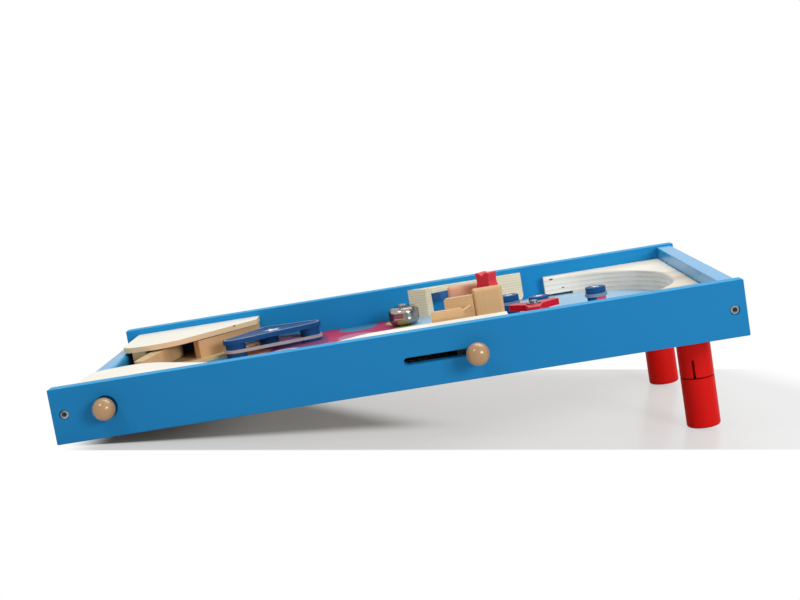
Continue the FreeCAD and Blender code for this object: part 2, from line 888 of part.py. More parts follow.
# A cheek of the tower, its top corners and its low upright edges rounded.
def cheek(u0, long, v0):
    board = block(u0, u0 + long, v0, v0 + fence_thick, board_top, cheek_top)
    corners = [e for e in level_edges(board, cheek_top) if e.BoundBox.XLength < 0.01]
    board = board.makeFillet(cheek_round, corners)
    places = [(u0, v0), (u0, v0 + fence_thick)]
    return board.makeFillet(fence_round, upright_edges(board, places))


# The peg leans from the low fence to the middle one and ends flush on both.
def tower_peg():
    v0 = low_fence_v + fence_thick
    low_end = middle_fence_u - low_fence_lead + low_fence_length
    start = V(low_end - tower_peg_in, v0, tower_peg_low)
    end = V(middle_fence_u + tower_peg_end, tower_v, tower_peg_high)
    way = end.sub(start)
    peg = Part.makeCylinder(tower_peg_r, 2 * way.Length, start.sub(way * 0.5), way)
    return peg.common(block(0, length, v0, tower_v, 0, cheek_top))


def figure_v():
    return tower_v + fence_thick + tower_gap / 2


def figure():
    right = [(s, w) for s, w in figure_half]
    left = [(-s, w) for s, w in figure_half[::-1]]
    points = [V(s, -figure_thick / 2, w) for s, w in right + [(0, figure_notch)] + left]
    shape = Part.Face(Part.makePolygon(points + points[:1])).extrude(V(0, figure_thick, 0))
    across = [e for e in shape.Edges if abs(e.BoundBox.YLength - figure_thick) < 0.01]
    shape = shape.makeFillet(figure_round, across)
    shape.rotate(V(0, 0, 0), V(0, 0, 1), 90 + figure_turn)
    shape.translate(V(figure_u, figure_v(), 0))
    return shape.cut(upright(figure_u, figure_v(), figure_axle_r + figure_play, figure_low,
                             figure_bore_top))


def figure_axle():
    axle = upright(figure_u, figure_v(), figure_axle_r, board_top, figure_bore_top - 2)
    return axle.fuse(upright(figure_u, figure_v(), figure_axle_r + 4, board_top,
                             figure_low - figure_foot_gap))


def far_block():
    points = from_far([(high_face - back, off) for back, off in far_block_points])
    body = prism(points, board_top, far_block_top)
    body = body.makeFillet(5.0, upright_edges(body, points[1:2]))
    end_u = points[-1][0]
    foot = [e for e in level_edges(body, board_top)
            if abs(e.BoundBox.XMin - end_u) < 0.01 and e.BoundBox.XLength < 0.01]
    body = body.makeFillet(far_block_round, foot)
    return body.cut(block(recess_u, recess_u + recess_length, far_face - 40, far_face,
                          board_top, recess_top))


def far_wedge():
    points = from_far([(recess_u + wedge_play + u, off) for u, off in wedge_points])
    return prism(points, wedge_low, recess_top)


# The arch is one board: straight along the rails, three sweeps on the inside.
def arch():
    back_u = high_face - arch_gap
    far_u = high_face - arch_far_length
    lip_v = far_face - arch_far_lip
    big = (arch_big_u, arch_big_v, arch_big_r)
    mid = (arch_mid_u, arch_mid_v, arch_mid_r)
    far = (high_face - arch_back - arch_far_r, lip_v - arch_far_drop, arch_far_r)

    def at(sweep, degrees):
        u, v, r = sweep
        a = math.radians(degrees)
        return V(u + r * math.cos(a), v + r * math.sin(a), board_top)

    def sweep_edge(sweep, a0, a1):
        return Part.Arc(at(sweep, a0), at(sweep, (a0 + a1) / 2), at(sweep, a1)).toShape()

    last = math.degrees(math.asin(arch_far_drop / arch_far_r))
    outside = [at(far, last), V(far_u, lip_v, board_top), V(far_u, far_face, board_top),
               V(back_u, far_face, board_top), V(back_u, near_face, board_top),
               V(toe_u, near_face, board_top), at(big, toe_angle)]
    edges = [Part.makeLine(a, b) for a, b in zip(outside, outside[1:])]
    edges += [sweep_edge(big, toe_angle, -arch_turn), sweep_edge(mid, -arch_turn, 0),
              Part.makeLine(at(mid, 0), at(far, 0)), sweep_edge(far, 0, last)]
    body = Part.Face(Part.Wire(edges)).extrude(V(0, 0, arch_top - board_top))
    kink = at(far, last)
    body = body.makeFillet(arch_kink, upright_edges(body, [(kink.x, kink.y)]))
    inside = [e for e in level_edges(body, arch_top)
              if e.BoundBox.YMax < far_face - 1 and e.BoundBox.XMax < back_u - 1
              and e.BoundBox.YMin > near_face + 1]
    body = body.makeFillet(arch_round, inside)
    return body.cut(block(far_u, far_u + notch_length, lip_v - 1, far_face,
                          board_top, board_top + notch_high))


# ---- leaning the case on its legs, and writing the files ----

# The rail's low corner and the foot's edge are both round; both rest on the ground.
def tilt():
    a = length - leg_inset - leg_r + foot_round - rail_corner
    b = leg_length - board_under - foot_round + rail_corner
    reach = math.hypot(a, b)
    return math.atan2(b, a) + math.asin((foot_round - rail_corner) / reach)


def stand():
    t = tilt()
    s, c = math.sin(t), math.cos(t)
    low_x = rail_corner * c - (rail_height - rail_corner) * s - rail_corner
    high_x = (length - rail_corner) * c - rail_corner * s + rail_corner
    ground = rail_corner * (s + c) - rail_corner
    mid_y = (width + button_out + ball_r - knob_out - ball_r) / 2
    return math.degrees(t), V(-(low_x + high_x) / 2, -mid_y, -ground)


def export(name, shape):
    shape = shape.copy()
    degrees, shift = stand()
    shape.rotate(V(0, 0, 0), V(0, 1, 0), -degrees)
    shape.translate(shift)
    shape.exportStep("parts/" + name + ".step")


def write_case():
    export("side_rail_near", side_rail().cut(launch_slot()))
    export("side_rail_far", mirrored(side_rail()))
    export("end_rail_low", end_rail(low_inset, low_rail_height, low_bolt_height, 1,
                                    low_rail_round))
    export("end_rail_high", end_rail(high_face, high_rail_height, high_bolt_height, -1,
                                     end_rail_edge))
    export("play_board", play_board())
    export("frame_bolts", all_corners(frame_bolt))
    export("barrel_nuts", all_corners(barrel_nut))
    near_row, far_row = leg_rows()
    export("leg_stubs", Part.makeCompound([leg_stub(near_row), leg_stub(far_row)]))
    export("leg_screws", Part.makeCompound([leg_screw(near_row), leg_screw(far_row)]))
    export("leg_near", leg(near_row))
    export("leg_far", leg(far_row))


def write_flippers():
    export("flipper_bases", both_sides(flipper_base()))
    export("flipper_walls", both_sides(flipper_wall()))
    export("support_blocks", both_sides(support_block()))
    export("guide_blocks", both_sides(guide_block()))
    export("pivot_pins", both_sides(pivot_pin()))
    export("blade_spacers", both_sides(blade_spacers()))
    pieces = {"flipper_cover": flipper_cover, "blade": blade, "blade_hook": blade_hook,
              "push_rod": push_rod, "button_ball": button_ball,
              "return_elastic": return_elastic}
    for name, piece in pieces.items():
        export(name + "_far", piece())
        export(name + "_near", mirrored(piece()))


def write_launcher():
    export("launcher_cover", launcher_cover())
    export("launcher_wall", launcher_wall())
    export("lane_guide", lane_guide())
    export("carriage", carriage())
    export("carriage_hook", carriage_hook())
    export("launcher_knob", launcher_knob())
    export("launcher_elastic", launcher_elastic())
    export("anchor_pegs", anchor_pegs())


def write_playfield():
    export("sling_posts", each(sling_posts, sling_post))
    export("sling_plate", sling_plate())
    export("sling_band", sling_band())
    export("bell_dome", bell_dome())
    export("bell_post", bell_post())
    export("bell_nut", bell_nut())
    export("bumper_posts", each(bumpers, bumper_post))
    export("bumper_rings", each(bumpers, bumper_ring))
    export("bumper_caps", each(bumpers, bumper_cap))
    export("spinner_rotor", spinner_rotor())
    export("spinner_post", spinner_post())
    export("spinner_washer", spinner_washer())
    export("spinner_screw", spinner_screw())
    export("far_block", far_block())
    export("far_wedge", far_wedge())
    export("arch", arch())


def write_tower():
    export("fence_low", fence(middle_fence_u - low_fence_lead, low_fence_length, low_fence_v,
                              low_fence_top, ["low", "high"]))
    export("fence_middle", fence(middle_fence_u, middle_fence_length, tower_v,
                                 middle_fence_top, ["low"]))
    export("cheek_near", cheek(middle_fence_u + middle_fence_length, near_cheek_length,
                               tower_v))
    export("cheek_far", cheek(middle_fence_u + far_cheek_lag, far_cheek_length,
                              tower_v + fence_thick + tower_gap))
    export("tower_peg", tower_peg())
    export("figure", figure())
    export("figure_axle", figure_axle())


write_case()
write_flippers()
write_launcher()
write_playfield()
write_tower()
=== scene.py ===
import json
import math

import bmesh
import bpy
from mathutils import Matrix, Vector


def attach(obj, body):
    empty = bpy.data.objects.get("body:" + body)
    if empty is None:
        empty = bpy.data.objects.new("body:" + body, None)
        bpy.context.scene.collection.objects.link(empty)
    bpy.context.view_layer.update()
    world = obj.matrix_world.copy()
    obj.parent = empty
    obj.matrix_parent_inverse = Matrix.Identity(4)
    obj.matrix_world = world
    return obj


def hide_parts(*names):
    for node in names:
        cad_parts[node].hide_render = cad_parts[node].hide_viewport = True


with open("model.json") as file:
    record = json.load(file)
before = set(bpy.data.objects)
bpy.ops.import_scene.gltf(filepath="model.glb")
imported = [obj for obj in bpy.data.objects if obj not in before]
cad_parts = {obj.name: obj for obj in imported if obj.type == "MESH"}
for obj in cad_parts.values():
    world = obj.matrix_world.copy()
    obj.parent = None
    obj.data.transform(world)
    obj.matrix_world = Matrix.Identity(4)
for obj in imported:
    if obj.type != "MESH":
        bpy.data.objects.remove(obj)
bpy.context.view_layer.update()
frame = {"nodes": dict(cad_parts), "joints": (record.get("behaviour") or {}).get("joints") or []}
nodes = frame["nodes"]
print("frame loaded:", len(nodes), "nodes")


# The table leans back on its legs. Its own directions are read from the near rail and the
# spinner's axis: x from the low end, y from the near rail, z up from the rail's underside.

def jointNamed(name):
    return next(joint for joint in frame["joints"] if joint["name"] == name)


upAxis = Vector(jointNamed("spinner_turn")["axis"])
lean = math.atan2(-upAxis.x, upAxis.z)
levelTurn = Matrix.Rotation(lean, 4, "Y")


def corners(points):
    # lowest and highest corner of some points
    low = Vector([min(point[axis] for point in points) for axis in range(3)])
    high = Vector([max(point[axis] for point in points) for axis in range(3)])
    return low, high


railPoints = [levelTurn @ vertex.co for vertex in nodes["side_rail_near"].data.vertices]
tableShift = -corners(railPoints)[0]
toTable = Matrix.Translation(tableShift) @ levelTurn
toRow = toTable.inverted()


def tableBox(node):
    return corners([toTable @ vertex.co for vertex in nodes[node].data.vertices])


mergeDistance = 0.00001


def tableMesh(node):
    mesh = bmesh.new()
    mesh.from_mesh(nodes[node].data)
    bmesh.ops.remove_doubles(mesh, verts=mesh.verts, dist=mergeDistance)
    bmesh.ops.transform(mesh, matrix=toTable, verts=mesh.verts)
    return mesh


def islands(node):
    # the separate solids of a node, each as its lowest and highest corner
    mesh = tableMesh(node)
    waiting = set(mesh.verts)
    found = []
    while waiting:
        reached = [waiting.pop()]
        for vertex in reached:
            for edge in vertex.link_edges:
                other = edge.other_vert(vertex)
                if other in waiting:
                    waiting.remove(other)
                    reached.append(other)
        found.append(corners([vertex.co for vertex in reached]))
    mesh.free()
    return sorted(found, key=lambda box: box[0].x)


def middleOf(box):
    return (box[0] + box[1]) / 2


def colour(red, green, blue):
    # 0 to 255 as on a paint card, to the linear values that Blender takes
    linear = [(c / 255 / 12.92) if c < 10.3 else ((c / 255 + 0.055) / 1.055) ** 2.4
              for c in (red, green, blue)]
    return (*linear, 1.0)


def addNode(tree, kind, inputs=None, **settings):
    made = tree.nodes.new(kind)
    for name, value in settings.items():
        setattr(made, name, value)
    for name, value in (inputs or {}).items():
        if isinstance(value, bpy.types.NodeSocket):
            tree.links.new(value, made.inputs[name])
        else:
            made.inputs[name].default_value = value
    return made


def newGroup(name, inputs, outputs):
    group = bpy.data.node_groups.new(name, "ShaderNodeTree")
    for label, kind, value in inputs:
        socket = group.interface.new_socket(name=label, in_out="INPUT", socket_type=kind)
        socket.default_value = value
    for label, kind in outputs:
        group.interface.new_socket(name=label, in_out="OUTPUT", socket_type=kind)
    return group, addNode(group, "NodeGroupInput").outputs, addNode(group, "NodeGroupOutput")


def placed(tree, point, turn=(0, 0, 0), scale=(1, 1, 1), shift=(0, 0, 0)):
    made = addNode(tree, "ShaderNodeMapping", {"Vector": point, "Location": shift,
                                               "Rotation": turn, "Scale": scale})
    return made.outputs["Vector"]


def tablePoint(tree):
    source = addNode(tree, "ShaderNodeTexCoord").outputs["Object"]
    return placed(tree, source, turn=(0, lean, 0), shift=tableShift)


def sums(tree, operation, first, second, clamp=False):
    made = addNode(tree, "ShaderNodeMath", {0: first, 1: second}, operation=operation)
    made.use_clamp = clamp
    return made.outputs[0]


def arrows(tree, operation, first, second, output="Vector"):
    made = addNode(tree, "ShaderNodeVectorMath", {0: first, 1: second}, operation=operation)
    return made.outputs[output]


def step(tree, value, start, end, low=0.0, high=1.0):
    made = addNode(tree, "ShaderNodeMapRange",
                   {"Value": value, "From Min": start, "From Max": end,
                    "To Min": low, "To Max": high}, interpolation_type="SMOOTHSTEP")
    return made.outputs["Result"]


def blendColours(tree, amount, under, over):
    made = addNode(tree, "ShaderNodeMix", {0: amount, 6: under, 7: over}, data_type="RGBA")
    return made.outputs[2]


def noise(tree, point, scale, detail=2.0, output="Fac"):
    made = addNode(tree, "ShaderNodeTexNoise", {"Vector": point, "Scale": scale,
                                                "Detail": detail})
    return made.outputs[output]


facingEdge = (0.6, 0.8)


def facing(tree, direction):
    # 1 where the surface looks along a direction, given in the row frame
    normal = addNode(tree, "ShaderNodeNewGeometry").outputs["Normal"]
    along = arrows(tree, "DOT_PRODUCT", normal, tuple(direction), "Value")
    return step(tree, along, *facingEdge)


# Wood: how far the grain is drawn out along the piece, then the scales and strengths of its
# drift, rings, fibres and slow shifts of tone.
grain = {"drawnOut": (0.16, 1, 1), "drift": 14.0, "distortion": 0.5, "detail": 2.0,
         "detailScale": 3.0, "ringSharp": 2.6, "ringPatches": 30.0,
         "ringPatchEdge": (0.25, 0.75), "ringStrength": (0.35, 1.3),
         "fibreDrawn": (30, 700, 700), "fibreScale": 1.0, "fibreDetail": 3.0, "shade": 22.0,
         "shadeFrom": 0.3, "shadeDepth": 0.7, "fibreRough": 0.16, "fibreHeight": 0.7,
         "ringHeight": 0.3}


def makeWoodGroup():
    # growth rings round a pith line, fibres along it, slow shifts of tone
    group, given, result = newGroup(
        "woodGrain",
        [("Turn", "NodeSocketVector", (0, 0, 0)), ("Pith", "NodeSocketVector", (0, 0.07, -0.11)),
         ("Pale", "NodeSocketColor", colour(225, 185, 135)),
         ("Dark", "NodeSocketColor", colour(195, 140, 90)),
         ("Rings", "NodeSocketFloat", 60.0), ("Ring depth", "NodeSocketFloat", 0.2),
         ("Fibre depth", "NodeSocketFloat", 0.4), ("Bend", "NodeSocketFloat", 0.014),
         ("Sheen", "NodeSocketFloat", 0.5)],
        [("Color", "NodeSocketColor"), ("Roughness", "NodeSocketFloat"),
         ("Height", "NodeSocketFloat")])
    turned = placed(group, tablePoint(group), given["Turn"], (1, 1, 1), given["Pith"])
    along = placed(group, turned, scale=grain["drawnOut"])
    drift = arrows(group, "SUBTRACT", noise(group, along, grain["drift"], output="Color"),
                   (0.5, 0.5, 0.5))
    push = addNode(group, "ShaderNodeVectorMath", {0: drift, "Scale": given["Bend"]},
                   operation="SCALE").outputs["Vector"]
    bent = arrows(group, "ADD", turned, push)
    wave = addNode(group, "ShaderNodeTexWave",
                   {"Vector": placed(group, bent, scale=grain["drawnOut"]),
                    "Scale": given["Rings"], "Distortion": grain["distortion"],
                    "Detail": grain["detail"], "Detail Scale": grain["detailScale"]},
                   wave_type="RINGS", rings_direction="X", wave_profile="SAW")
    strength = step(group, noise(group, along, grain["ringPatches"]), *grain["ringPatchEdge"],
                    *grain["ringStrength"])
    sharp = sums(group, "POWER", wave.outputs["Fac"], grain["ringSharp"])
    ring = sums(group, "MULTIPLY", sharp, strength)
    fibre = noise(group, placed(group, bent, scale=grain["fibreDrawn"]), grain["fibreScale"],
                  grain["fibreDetail"])
    shade = noise(group, along, grain["shade"])
    amount = sums(group, "MULTIPLY", ring, given["Ring depth"])
    fine = sums(group, "MULTIPLY", sums(group, "SUBTRACT", fibre, 0.5), given["Fibre depth"])
    slow = sums(group, "MULTIPLY", sums(group, "SUBTRACT", shade, grain["shadeFrom"]),
                grain["shadeDepth"])
    amount = sums(group, "ADD", sums(group, "ADD", amount, fine), slow, True)
    tone = blendColours(group, amount, given["Pale"], given["Dark"])
    rough = sums(group, "ADD", sums(group, "MULTIPLY", fibre, grain["fibreRough"]),
                 given["Sheen"])
    height = sums(group, "ADD", sums(group, "MULTIPLY", fibre, grain["fibreHeight"]),
                  sums(group, "MULTIPLY", ring, grain["ringHeight"]))
    group.links.new(tone, result.inputs["Color"])
    group.links.new(rough, result.inputs["Roughness"])
    group.links.new(height, result.inputs["Height"])
    return group


# Lacquer: scales of its slow shifts, brush lines and orange peel.
lacquerLook = {"slow": 7.0, "slowDetail": 3.0, "slowFrom": 0.35, "slowRough": 0.12,
               "lines": 12.0, "peel": 420.0, "peelDetail": 1.0}


def makeLacquerGroup():
    # sprayed paint over wood: slow shifts of tone and a little orange peel
    group, given, result = newGroup(
        "lacquerTone",
        [("Paint", "NodeSocketColor", colour(40, 130, 185)),
         ("Worn", "NodeSocketColor", colour(90, 170, 215)),
         ("Stretch", "NodeSocketVector", (2, 30, 30)), ("Drift", "NodeSocketFloat", 0.12),
         ("Sheen", "NodeSocketFloat", 0.3)],
        [("Color", "NodeSocketColor"), ("Roughness", "NodeSocketFloat"),
         ("Height", "NodeSocketFloat")])
    point = tablePoint(group)
    slow = noise(group, point, lacquerLook["slow"], lacquerLook["slowDetail"])
    lines = noise(group, arrows(group, "MULTIPLY", point, given["Stretch"]),
                  lacquerLook["lines"])
    peel = noise(group, point, lacquerLook["peel"], lacquerLook["peelDetail"])
    above = sums(group, "SUBTRACT", slow, lacquerLook["slowFrom"], True)
    lift = sums(group, "MULTIPLY", above, given["Drift"])
    tone = blendColours(group, lift, given["Paint"], given["Worn"])
    rough = sums(group, "ADD", sums(group, "MULTIPLY", slow, lacquerLook["slowRough"]),
                 given["Sheen"])
    height = sums(group, "MULTIPLY", sums(group, "ADD", peel, lines), 0.5)
    group.links.new(tone, result.inputs["Color"])
    group.links.new(rough, result.inputs["Roughness"])
    group.links.new(height, result.inputs["Height"])
    return group


def makeSpotGroup():
    # one disc, ring or knot, laid over what is under it
    group, given, result = newGroup(
        "paintedSpot",
        [("Under", "NodeSocketColor", colour(200, 200, 200)),
         ("Paint", "NodeSocketColor", colour(60, 60, 60)),
         ("Centre", "NodeSocketVector", (0, 0, 0)), ("Stretch", "NodeSocketVector", (1, 1, 0)),
         ("Radius", "NodeSocketFloat", 0.02), ("Hollow", "NodeSocketFloat", 0.0),
         ("Soft", "NodeSocketFloat", 0.0004)],
        [("Color", "NodeSocketColor")])
    away = arrows(group, "SUBTRACT", tablePoint(group), given["Centre"])
    away = addNode(group, "ShaderNodeVectorMath",
                   {0: arrows(group, "MULTIPLY", away, given["Stretch"])},
                   operation="LENGTH").outputs["Value"]
    inner = step(group, away, sums(group, "SUBTRACT", given["Hollow"], given["Soft"]),
                 given["Hollow"])
    outer = step(group, away, given["Radius"],
                 sums(group, "SUBTRACT", given["Radius"], given["Soft"]))
    mask = sums(group, "MULTIPLY", inner, outer)
    group.links.new(blendColours(group, mask, given["Under"], given["Paint"]),
                    result.inputs["Color"])
    return group


def makeSeamAndShadowLineGroup():
    # a thin dark line at one height: a dark joint where two pieces meet, and also a painted shadow
    # line where one piece shades another
    group, given, result = newGroup(
        "seamLine",
        [("Under", "NodeSocketColor", colour(200, 200, 200)),
         ("Paint", "NodeSocketColor", colour(60, 40, 24)),
         ("Level", "NodeSocketFloat", 0.0), ("Half", "NodeSocketFloat", 0.0008)],
        [("Color", "NodeSocketColor")])
    height = addNode(group, "ShaderNodeSeparateXYZ", {0: tablePoint(group)}).outputs["Z"]
    away = sums(group, "ABSOLUTE", sums(group, "SUBTRACT", height, given["Level"]), 0.0)
    mask = step(group, away, given["Half"], sums(group, "MULTIPLY", given["Half"], 0.5))
    group.links.new(blendColours(group, mask, given["Under"], given["Paint"]),
                    result.inputs["Color"])
    return group


woodGroup = makeWoodGroup()
lacquerGroup = makeLacquerGroup()
spotGroup = makeSpotGroup()
seamAndShadowLineGroup = makeSeamAndShadowLineGroup()


def useGroup(tree, group, inputs):
    return addNode(tree, "ShaderNodeGroup", inputs, node_tree=group).outputs


def newMaterial(name):
    material = bpy.data.materials.new(name)
    material.use_nodes = True
    tree = material.node_tree
    return material, tree, tree.nodes["Principled BSDF"]


def setSockets(shader, values):
    for name, value in values.items():
        shader.inputs[name].default_value = value


def addRelief(tree, shader, height, depth):
    bump = addNode(tree, "ShaderNodeBump", {"Height": height, "Strength": 0.5,
                                            "Distance": depth})
    tree.links.new(bump.outputs["Normal"], shader.inputs["Normal"])


def finishFrom(tree, shader, look, relief):
    tree.links.new(look["Roughness"], shader.inputs["Roughness"])
    addRelief(tree, shader, look["Height"], relief)


grainAcross = (0, 0, math.radians(90))
grainUpright = (0, math.radians(90), 0)


woodRelief = 0.00025
knotLook = {"colour": colour(104, 72, 44), "stretch": (0.45, 1, 1), "soft": 0.6}


def addKnots(tree, tone, knots):
    for centre, radius in knots:
        tone = useGroup(tree, spotGroup, {"Under": tone, "Paint": knotLook["colour"],
                                          "Centre": centre, "Stretch": knotLook["stretch"],
                                          "Radius": radius,
                                          "Soft": radius * knotLook["soft"]})["Color"]
    return tone


def makeWood(name, wood, coat=0.0, knots=(), seamAndShadowLevel=None):
    material, tree, shader = newMaterial(name)
    look = useGroup(tree, woodGroup, wood)
    finishFrom(tree, shader, look, woodRelief)
    tone = look["Color"]
    # a dark line at one height; on the flipper walls it is a painted shadow under the covers
    if seamAndShadowLevel:
        tone = useGroup(tree, seamAndShadowLineGroup, {"Under": tone, "Level": seamAndShadowLevel})["Color"]
    tree.links.new(addKnots(tree, tone, knots), shader.inputs["Base Color"])
    setSockets(shader, {"Specular IOR Level": 0.3, "Coat Weight": coat,
                        "Coat Roughness": 0.16})
    return material


lacquerRelief = 0.00008
lacquerSeam = {"Paint": colour(104, 8, 8), "Half": 0.0007}


def makeLacquer(name, paint, worn, stretch=(2, 30, 30), drift=0.2, sheen=0.2, coat=0.0,
                specular=0.4, top=None, seamAndShadowLevel=None):
    # top is a painted tone of light and shade for the faces that look up, lighter or darker than
    # the sides; the seam level is the height of a dark joint line
    material, tree, shader = newMaterial(name)
    look = useGroup(tree, lacquerGroup, {"Paint": paint, "Worn": worn, "Stretch": stretch,
                                         "Drift": drift, "Sheen": sheen})
    finishFrom(tree, shader, look, lacquerRelief)
    tone = look["Color"]
    # painted light and shade: faces that look up get the top tone
    if top:
        tone = blendColours(tree, facing(tree, upAxis), tone, top)
    if seamAndShadowLevel:
        tone = useGroup(tree, seamAndShadowLineGroup, {"Under": tone, "Level": seamAndShadowLevel,
                                          **lacquerSeam})["Color"]
    tree.links.new(tone, shader.inputs["Base Color"])
    setSockets(shader, {"Specular IOR Level": specular, "Coat Weight": coat,
                        "Coat Roughness": 0.08})
    return material


# Smear patches on metal; on the chrome the dull patches are partly painted reflection.
metalLook = {"smearAndReflection": 60.0, "smearDetail": 3.0, "smearEdge": (0.4, 0.65),
             "drawn": (8, 300, 300), "lines": 4.0, "lineRough": 0.14, "relief": 0.00004}
# Socket spots are painted shade: the screws' hex recesses drawn dark.
socketShadeLook = {"Paint": colour(44, 52, 60), "Stretch": (1, 0, 1), "Radius": 0.0028,
              "Soft": 0.0012}


def makeMetal(name, bright, dull, roughness, shadedSockets=()):
    # each socket gets painted shade, a dark spot at the middle of a screw head where its recess
    # lies
    material, tree, shader = newMaterial(name)
    point = tablePoint(tree)
    smearAndReflection = noise(tree, point, metalLook["smearAndReflection"], metalLook["smearDetail"])
    lines = noise(tree, placed(tree, point, scale=metalLook["drawn"]), metalLook["lines"])
    tone = blendColours(tree, step(tree, smearAndReflection, *metalLook["smearEdge"]), bright, dull)
    for centre in shadedSockets:
        tone = useGroup(tree, spotGroup, {"Under": tone, "Centre": centre,
                                          **socketShadeLook})["Color"]
    tree.links.new(tone, shader.inputs["Base Color"])
    rough = sums(tree, "ADD", sums(tree, "MULTIPLY", lines, metalLook["lineRough"]), roughness)
    tree.links.new(rough, shader.inputs["Roughness"])
    addRelief(tree, shader, lines, metalLook["relief"])
    setSockets(shader, {"Metallic": 1.0})
    return material


rubberLook = {"cloud": 90.0, "edge": (0.2, 0.8), "roughSpread": 0.15, "bending": 1.35}


def makeRubber(name, clear, milky, passes, roughness=0.35):
    material, tree, shader = newMaterial(name)
    cloud = noise(tree, tablePoint(tree), rubberLook["cloud"])
    tree.links.new(blendColours(tree, cloud, clear, milky), shader.inputs["Base Color"])
    rough = step(tree, cloud, *rubberLook["edge"], roughness,
                 roughness + rubberLook["roughSpread"])
    tree.links.new(rough, shader.inputs["Roughness"])
    setSockets(shader, {"Transmission Weight": passes, "IOR": rubberLook["bending"]})
    return material


def makeTopped(name, topColour, wood, relief, knots=()):
    # a wooden piece whose upper face alone is painted or printed
    material, tree, shader = newMaterial(name)
    look = useGroup(tree, woodGroup, wood)
    finishFrom(tree, shader, look, relief)
    edge = addKnots(tree, look["Color"], knots)
    tree.links.new(blendColours(tree, facing(tree, upAxis), edge, topColour(tree)),
                   shader.inputs["Base Color"])
    setSockets(shader, {"Specular IOR Level": 0.3})
    return material


def makeSideShaded(name, wood, sideShadeColour, direction):
    # a wooden piece with painted shade on one side, the side that looks along a direction
    material, tree, shader = newMaterial(name)
    look = useGroup(tree, woodGroup, wood)
    finishFrom(tree, shader, look, woodRelief)
    tree.links.new(blendColours(tree, facing(tree, direction), look["Color"], sideShadeColour),
                   shader.inputs["Base Color"])
    setSockets(shader, {"Specular IOR Level": 0.2})
    return material


beech = {"Pale": colour(216, 176, 128), "Dark": colour(182, 136, 92), "Rings": 70.0,
         "Ring depth": 0.08, "Fibre depth": 0.5, "Sheen": 0.42}
pinkBeech = {**beech, "Pale": colour(226, 172, 140), "Dark": colour(198, 132, 98)}
pine = {"Pale": colour(246, 236, 206), "Dark": colour(206, 184, 144), "Rings": 95.0,
        "Ring depth": 0.75, "Fibre depth": 0.35, "Bend": 0.006, "Sheen": 0.5,
        "Pith": (0, -0.2, 2.0)}
archPine = {**pine, "Pale": colour(252, 246, 234), "Dark": colour(212, 194, 168),
            "Rings": 52.0, "Bend": 0.004, "Pith": (0, -0.2, 3.0)}
coverEdge = {**beech, "Pale": colour(232, 208, 168), "Dark": colour(206, 170, 124)}
plyEdge = {**beech, "Pale": colour(226, 204, 168), "Dark": colour(190, 160, 120)}

archKnots = [((0.5805, 0.388, 0.0406), 0.0016), ((0.5948, 0.388, 0.0274), 0.0012)]
coverKnots = [((0.1563, 0.3464, 0.0525), 0.0017), ((0.1426, 0.3397, 0.0518), 0.0017),
              ((0.1380, 0.3375, 0.0525), 0.0010)]


cream = {"pale": colour(248, 244, 234), "dark": colour(240, 234, 216),
         "drawn": (20, 140, 140), "scale": 2.0, "detail": 3.0, "edge": (0.3, 0.8)}


def creamTop(tree):
    drawn = placed(tree, tablePoint(tree), scale=cream["drawn"])
    streak = noise(tree, drawn, cream["scale"], cream["detail"])
    return blendColours(tree, step(tree, streak, *cream["edge"]), cream["pale"], cream["dark"])


# The printed board: even bands, bubbles in staggered rows, rings in the sky and one round each
# bumper. Bands start at a distance from the low end; a style is radius, hollow, paint.
boardPrint = {
    "base": colour(200, 70, 90),
    "bands": [(0.090, colour(225, 145, 115)), (0.180, colour(120, 60, 110)),
              (0.270, colour(185, 50, 90)), (0.360, colour(195, 190, 115)),
              (0.376, colour(165, 200, 225))],
    "bandSoft": 0.002,
    "wave": {"scale": 11.0, "detail": 1.0, "height": 0.09},
    "clouds": {"colour": colour(215, 225, 235), "scale": 9.0, "detail": 3.0,
               "edge": (0.50, 0.66), "strength": 0.7, "from": 0.46, "soft": 0.03},
    "rowWide": 0.090,
    "rows": 4,
    "bubbleGap": 0.070,
    "bubblesInRow": 5,
    "bubbles": [(0.026, 0.0, colour(65, 130, 165)), (0.016, 0.0, colour(230, 190, 120)),
                (0.022, 0.017, colour(225, 230, 235)), (0.018, 0.0, colour(50, 75, 130)),
                (0.024, 0.0, colour(190, 120, 155))],
    "skyRing": (0.026, 0.021, colour(70, 120, 175)),
    "skyRingX": 0.450,
    "skyRingGap": 0.105,
    "skyRings": 3,
    "bumperRing": (0.028, 0.022, colour(195, 60, 85)),
    "bumpers": [(0.622, 0.249), (0.517, 0.295), (0.551, 0.247)],
}


def evenSpots():
    styles = boardPrint["bubbles"]
    spots = []
    for row in range(boardPrint["rows"]):
        for place in range(boardPrint["bubblesInRow"]):
            x = boardPrint["rowWide"] * (row + 0.5)
            y = boardPrint["bubbleGap"] * (place + 1 + row % 2 / 2)
            spots.append((x, y, *styles[(2 * row + place) % len(styles)]))
    for place in range(boardPrint["skyRings"]):
        spots.append((boardPrint["skyRingX"], boardPrint["skyRingGap"] * (place + 1),
                      *boardPrint["skyRing"]))
    spots += [(x, y, *boardPrint["bumperRing"]) for x, y in boardPrint["bumpers"]]
    return spots


